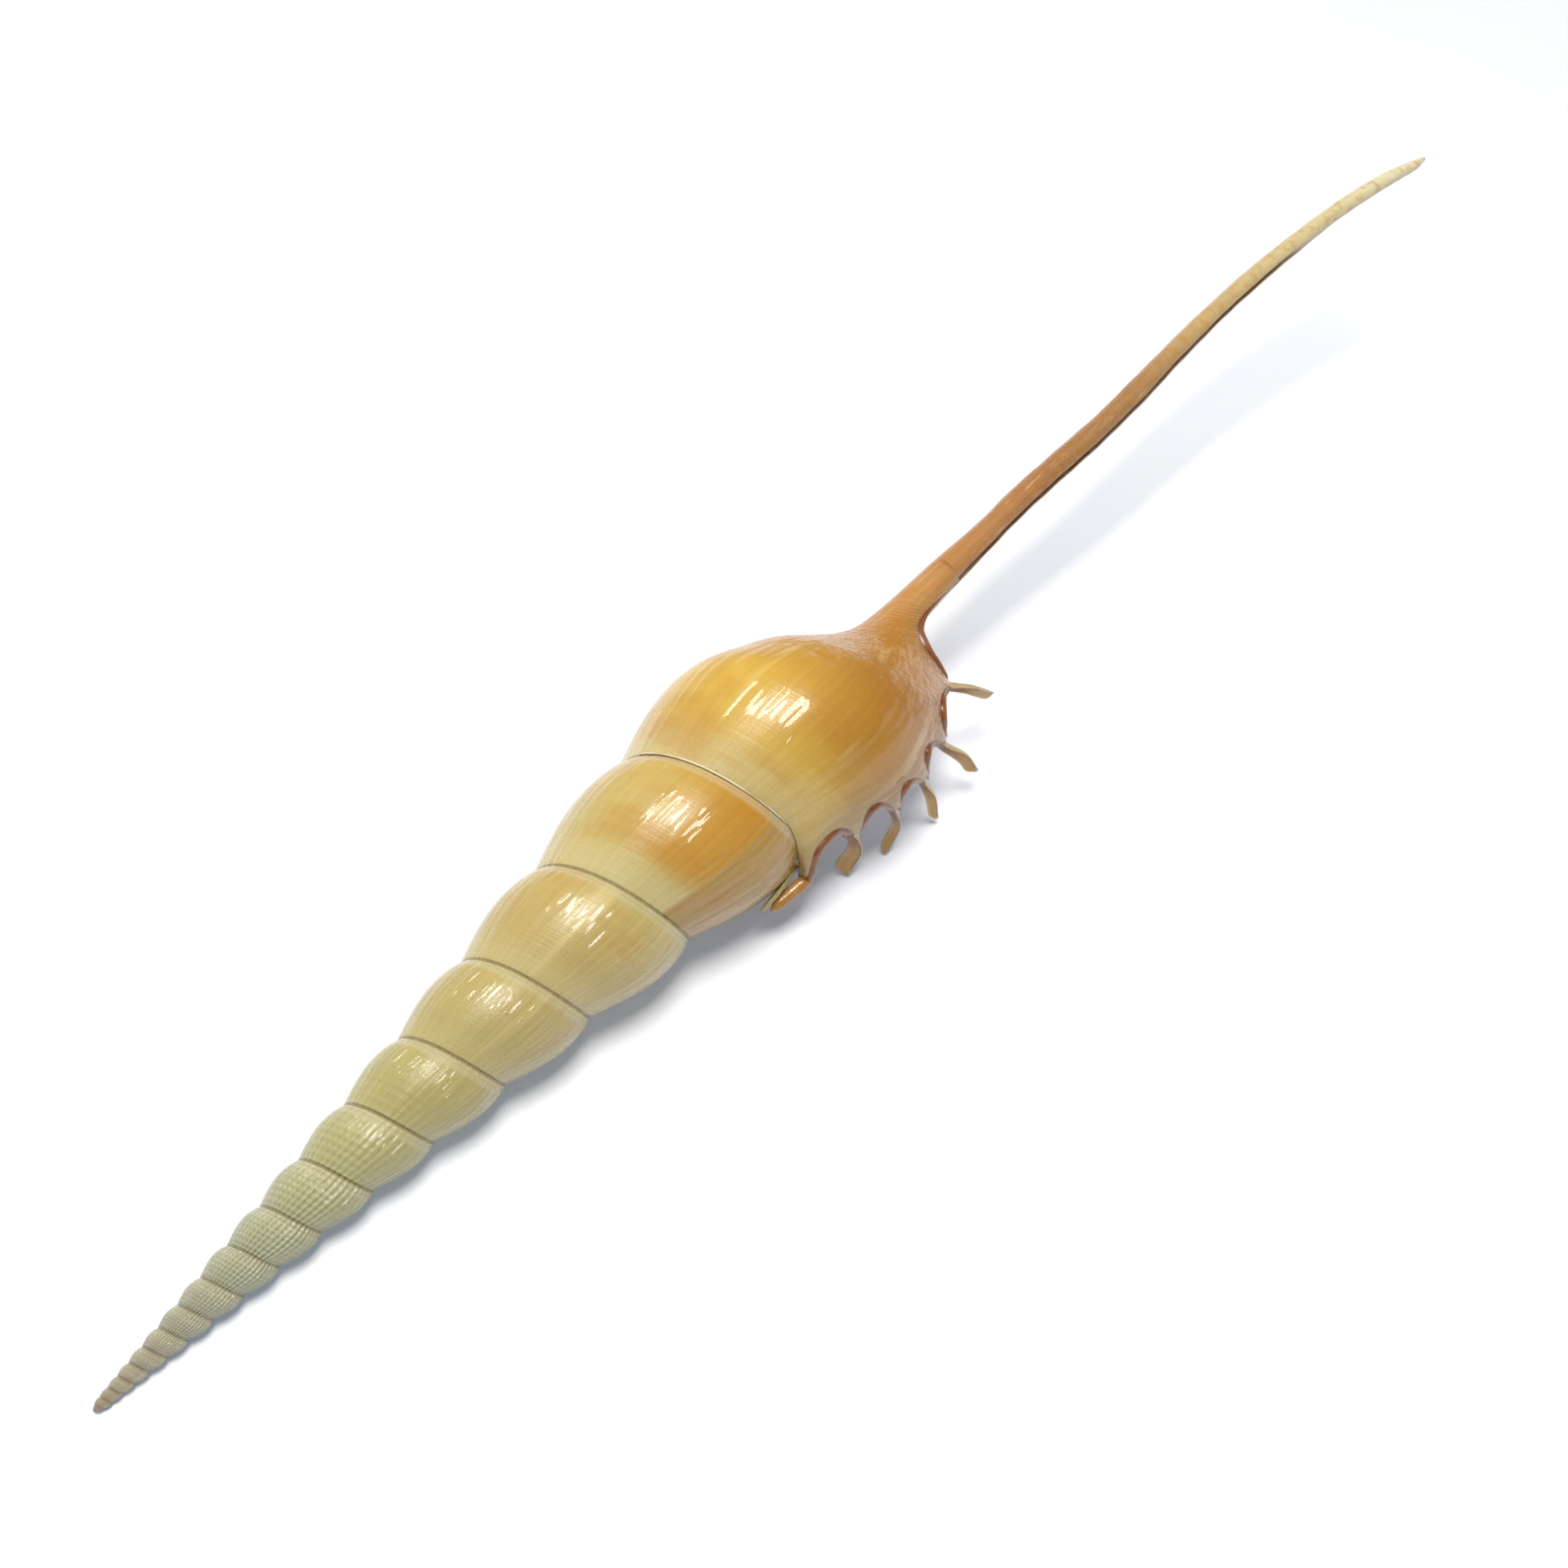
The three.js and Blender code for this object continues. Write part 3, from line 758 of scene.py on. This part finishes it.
shellLook = {
    # colour along the axis, from the first whorl to the tip of the canal
    "stops": [(0.0, "#B0967E"), (0.02, "#AEA289"), (0.05, "#A9A78C"), (0.09, "#AEAE8A"), (0.13, "#AEAA78"),
              (0.18, "#ACA066"), (0.26, "#B6A064"), (0.32, "#BCA868"), (0.37, "#C0A054"), (0.42, "#CEA84A"),
              (0.47, "#B6822A"), (0.505, "#B67C24"), (0.53, "#BE8844"), (0.57, "#B0783A"), (0.65, "#A06A34"),
              (0.73, "#A0743E"), (0.8, "#C0A066"), (0.92, "#D8C894"), (1.0, "#E8DEB6")],
    # noise laid out in the growth: cells to a turn (85 mm on the last whorl), cells
    # from suture to suture (22 mm there), detail and roughness
    "grains": {
        "wander": (6.0, 1.6, 3.0, 0.55),
        "cloud": (3.74, 2.38, 3.0, 0.55),
        "lines": (132.0, 0.77, 5.0, 0.65),      # growth lines about 0.6 mm apart
        "fineLines": (2.4, 52.0, 4.0, 0.6),     # spiral lines about 0.4 mm apart
        "streak": (22.4, 0.4, 4.0, 0.6),
        "sway": (12.0, 3.0, 3.0, 0.55),
        "dirt": (120.0, 24.0, 4.0, 0.7),        # crumbs of about 0.7 mm
        "scratch": (56.0, 2.0, 1.0, 0.55),      # 1.5 mm apart, coarse enough to show
        "crossScratch": (8.0, 44.0, 1.5, 0.55),
    },
    # strength and colour of each stain, and where it lies
    "stains": [
        # the shoulder just below each suture is paler and greener
        (1.0, "#C9BB86", [("across", 0.03, 0.33, 0.75, 0), ("axis", 0.1, 0.36), ("turn", 0, 0.22, 1, 0.5)]),
        # the whorl before the last is amber up to one growth line, then pale
        (0.75, "#BE8628", [("turn", -1.0, -0.88), ("turn", -0.842, -0.832, 1, 0), ("across", 0.15, 0.4)]),
        (0.8, "#A47E38", [("turn", -0.842, -0.832), ("turn", -0.69, -0.45, 1, 0)]),
        # warmer clouds on the large whorls; browner and darker towards the lip, partly the shell's own colour
        # and partly painted shade on the lip side of the last whorl
        (0.45, "#B67C22", [("cloud", 0.45, 0.72), ("axis", 0.2, 0.36)]),
        (1.0, "#9E641A", [("turn", -0.03, 0.15), ("across", 0.2, 0.6), ("across", 1.5, 3.5, 0.6, 0)]),
        (0.75, "#8E6C2A", [("turn", 0.16, 0.31), ("across", 0.05, 1.2, 1, 0.35)]),
    ],
    # growth lines darken and lighten all that is under them, and these lie over them
    "marks": [
        (0.3, "#DCC68A", [("streak", 0.6, 0.72), ("axis", 0.12, 0.3)]),
        (0.35, "#A8703C", [("thread", -0.2, 1.0)] + onBase),
        # sutures with a pale edge, a hairline beside them, and dirt caught in them
        (0.4, "#C8BE98", [("above", 0.9, 1.5, 1, 0), onSpire]),
        (0.2, "#8A7B5E", [("above", 0.49, 0.57), ("above", 0.67, 0.75, 1, 0), onSpire]),
        (1.0, "#7C6C4A", [("suture",), ("axis", 0.05, 0.18, 0.25, 1), ("dirt", 0.35, 0.6, 0.3, 0.75)]),
        (0.75, "#4A3E2A", [("dirt", 0.68, 0.72), ("nearSuture",)]),
        # the worn edge of the lip, then painted shade: dark in the canal's slit and darker in the furrows
        # between the ribs
        (0.5, "#D9CBA2", [("rim", 0.8, 1.0)]),
        # painted shade in the canal's slit
        (0.9, "#4A3122", [("inside",)]),
        # painted shade in the furrows between the ribs and cords of the early whorls
        (1.0, "#7C7350", [("furrow", 0.0, -1.4), ("axis", 0.08, 0.2, 0.4, 0)]),
    ],
    "lineShade": [0.3, 0.12],              # how much growth lines and spiral lines shade it
    "drift": 0.03,                         # how far the colour wanders along the axis
    "ribs": 38,                            # around one early whorl
    "cords": 8.5,                          # across one early whorl
    "threads": 4.4,                        # fanning out over the base, to each step across it
    "surface": {
        "Roughness": 0.25,
        "IOR": 1.53,                       # aragonite
        "Specular IOR Level": 0.35,
        "Coat Weight": 0.5,
        "Coat Roughness": 0.05,
        "Subsurface Weight": 0.12,
        "Subsurface Radius": (1.0, 0.55, 0.25),
        "Subsurface Scale": 1.2 * mm,
    },
}


def shellMaterial():
    # A thin calcareous shell, polished by the animal's mantle: warm and slightly
    # translucent, with growth lines and fine scratches that break up its highlights.
    material, add = startedMaterial("polishedShell", shellLook["surface"])
    growthMap = add("UVMap", uv_map="growthMap")
    turn = add("SeparateXYZ", [growthMap], "X")
    across = add("SeparateXYZ", [growthMap], "Y")
    values = {"turn": turn, "across": across}
    for name in ("axis", "rim", "inside"):
        values[name] = add("Attribute", output="Fac", attribute_name=name)
    height = add("Math", [values["axis"], 41.8, 0.86], operation="MULTIPLY_ADD")    # mm between sutures
    values["below"] = add("Math", [across, height], operation="MULTIPLY")
    values["above"] = add("Math", [height, values["below"]], operation="SUBTRACT")
    for name, (around, over, detail, roughness) in shellLook["grains"].items():
        place = add("CombineXYZ", [add("Math", [turn, around], operation="MULTIPLY"),
                                   add("Math", [across, over], operation="MULTIPLY")])
        values[name] = add("TexNoise", {"Vector": place, "Scale": 1.0, "Detail": detail,
                                        "Roughness": roughness}, noise_dimensions="2D")

    waves = {"ribs": weighed(add, [(turn, 2 * math.pi * shellLook["ribs"])]),
             "cords": weighed(add, [(across, 2 * math.pi * shellLook["cords"])]),
             "thread": add("Math", [weighed(add, [(across, 1.0), (values["sway"], 0.12)]),
                                    2 * math.pi * shellLook["threads"]], operation="MULTIPLY")}
    for name, wave in waves.items():
        values[name] = add("Math", [wave], operation="SINE")
    # low where ribs and cords dip; the marks darken these furrows as painted shade
    values["furrow"] = weighed(add, [(values["ribs"], 1.0), (values["cords"], 0.8)])
    for name, aboveEnd, belowEnd, start in (("suture", 0.26, 0.24, 0.02), ("nearSuture", 0.8, 0.7, 0.1)):
        sides = [faded(add, values, 1.0, [("above", start, aboveEnd, 1, 0), onSpire]),
                 faded(add, values, 1.0, [("below", start, belowEnd, 1, 0)])]
        values[name] = add("Math", sides, operation="MAXIMUM")

    drift = shellLook["drift"]
    drifted = weighed(add, [(values["axis"], 1.0), (values["wander"], drift)], -drift / 2)
    colour = overlaid(add, values, add("ValToRGB", [drifted], stops=shellLook["stops"]), shellLook["stains"])
    shading = list(zip((values["lines"], values["fineLines"]), shellLook["lineShade"]))
    shade = weighed(add, shading, 1 - sum(shellLook["lineShade"]) / 2)
    colour = add("HueSaturation", {"Color": colour, "Value": shade})
    colour = overlaid(add, values, colour, shellLook["marks"])

    # ribs crossed by cords on the early whorls, growth lines elsewhere, heights in mm
    ribbed = weighed(add, [(values["ribs"], 1.0), (values["cords"], 0.4)])
    ribbed = faded(add, values, ribbed, [("axis", 0.1, 0.21, 1, 0), ("axis", 0.0, 0.1, 0.03, 0.07)])
    fanned = faded(add, values, values["thread"], onBase)
    relief = weighed(add, [(ribbed, 1.0), (values["lines"], 0.05), (values["fineLines"], 0.03), (fanned, 0.03),
                           (values["suture"], -0.12)])
    # the polished skin is finely scratched along the growth lines
    scratches = weighed(add, [(values["scratch"], 0.42), (values["crossScratch"], 0.002), (ribbed, 0.6)])
    linkSurface(material, {
        "Base Color": colour,
        "Normal": add("Bump", {"Strength": 1.0, "Distance": mm, "Height": relief}),
        "Coat Normal": add("Bump", {"Strength": 1.0, "Distance": mm, "Height": scratches}),
    })
    return material


onBlade = ("shade", 0.2, 0.75, 1, 0)

rimLook = {
    # from the tip of a blade to the root of the rim
    "stops": [(0.0, "#B48840"), (0.3, "#A47C40"), (0.62, "#8E5C36"), (0.9, "#74402C"), (1.0, "#6E3C2C")],
    "marks": [
        (1.0, "#7C5230", [onBlade, ("across", 0.08, 0.32, 0.75, 0)]),      # brown along the crest, partly the rim's own colour and partly painted shade beside the crest
        (1.0, "#D2B680", [onBlade, ("across", 0.6, 1.0, 0, 0.7)]),         # horn at the thin edge
        (1.0, "#E8DCC0", [("across", 0.015, 0.07, 1, 0), ("crumbs", 0.35, 0.55, 0.35, 1)]),    # chalky line
    ],
    "cloudScale": 900.0,                   # clouds of about 1.1 mm
    "crumbScale": 2600.0,                  # chalk crumbs of about 0.4 mm
    "surface": {
        "Roughness": 0.33,
        "IOR": 1.53,
        "Coat Weight": 0.2,
        "Subsurface Weight": 0.15,
        "Subsurface Radius": (1.0, 0.6, 0.3),
        "Subsurface Scale": 0.8 * mm,
    },
}


def rimMaterial():
    # the glazed inner layer of the shell where it rolls over the lip: chestnut
    # brown, turning to thin horn-coloured blades with a chalky crest
    material, add = startedMaterial("glazedRim", rimLook["surface"])
    place = add("TexCoord", output="Object")
    cloud = add("TexNoise", {"Vector": place, "Scale": rimLook["cloudScale"], "Detail": 4.0})
    rim = add("Attribute", output="Fac", attribute_name="rim")
    values = {
        "across": add("SeparateXYZ", [add("UVMap", uv_map="growthMap")], "Y"),
        "shade": weighed(add, [(rim, 1.0), (cloud, 0.35)], -0.175),
        "crumbs": add("TexNoise", {"Vector": place, "Scale": rimLook["crumbScale"], "Detail": 5.0}),
    }
    colour = add("ValToRGB", [values["shade"]], stops=rimLook["stops"])
    crumbled = faded(add, values, values["crumbs"], [("across", 0.0, 0.3, 1, 0.2)])
    linkSurface(material, {
        "Base Color": overlaid(add, values, colour, rimLook["marks"]),
        "Normal": add("Bump", {"Strength": 0.6, "Distance": 0.2 * mm, "Height": crumbled}),
    })
    return material


innerLook = {
    "stops": [(0.3, "#CDB790"), (0.5, "#DCCBA8"), (0.7, "#B98F62")],
    "cloudScale": 160.0,                   # clouds of about 6 mm
    "surface": {"Roughness": 0.25, "IOR": 1.53, "Coat Weight": 0.3},
}


def innerMaterial():
    # the smooth porcelain-like layer inside the aperture, stained by the shell behind it
    material, add = startedMaterial("innerGlaze", innerLook["surface"])
    place = add("TexCoord", output="Object")
    cloud = add("TexNoise", {"Vector": place, "Scale": innerLook["cloudScale"], "Detail": 4.0})
    linkSurface(material, {"Base Color": add("ValToRGB", [cloud], stops=innerLook["stops"])})
    return material


polishedShell = shellMaterial()
glazedRim = rimMaterial()
innerGlaze = innerMaterial()
for piece in (spirePiece, lastPiece, canalPiece, ridgePiece, swellingPiece):
    piece.data.materials.append(polishedShell)
lastPiece.data.materials.append(innerGlaze)
rimPiece.data.materials.append(glazedRim)
columellaPiece.data.materials.append(innerGlaze)

print("stage: floor and light")

studio = {
    "floorSize": 4.0,                      # m
    # matt white paper, even and bright, that also glows faintly blue: painted light that lifts its shadows to a
    # clean grey
    "paper": {"Base Color": linearColour("#DFDDDC"), "Roughness": 0.9, "Emission Color": (0.59, 0.75, 1, 1),
              "Emission Strength": 0.2},
    "air": {"Color": (0.93, 0.96, 1.0, 1), "Strength": 0.14},
    # a small soft box above the shell, and a large one low behind it
    "key": {"place": (-0.05, -0.06, 0.7), "turn": 0, "size": 0.3, "size_y": 0.25, "energy": 5.5},
    "fill": {"place": (-0.05, 0.75, 0.5), "turn": -56, "size": 0.9, "size_y": 0.9, "energy": 4.0},
}


def addLamp(name):
    settings = studio[name]
    bpy.ops.object.light_add(type="AREA", location=settings["place"],
                             rotation=(math.radians(settings["turn"]), 0, 0))
    lamp = bpy.context.object
    lamp.name = name + "Lamp"
    lamp.data.shape = "RECTANGLE"
    lamp.data.size = settings["size"]
    lamp.data.size_y = settings["size_y"]
    lamp.data.energy = settings["energy"]
    return lamp


bpy.ops.object.select_all(action="DESELECT")
bpy.ops.mesh.primitive_plane_add(size=studio["floorSize"], location=(0, 0, 0))
floorPiece = bpy.context.object
floorPiece.name = "floor"
# the paper's faint blue glow is painted light on its shadows
floorPiece.data.materials.append(startedMaterial("glowingPaper", studio["paper"])[0])

for piece in (spirePiece, lastPiece, canalPiece, rimPiece, ridgePiece, swellingPiece, columellaPiece):
    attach(piece, "root")
    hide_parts("tibia_shell")

world = bpy.data.worlds.new("studio")
bpy.context.scene.world = world
world.use_nodes = True
for socket, value in studio["air"].items():
    world.node_tree.nodes["Background"].inputs[socket].default_value = value
addLamp("key")
addLamp("fill").visible_glossy = False
bpy.context.scene.view_settings.view_transform = "Standard"
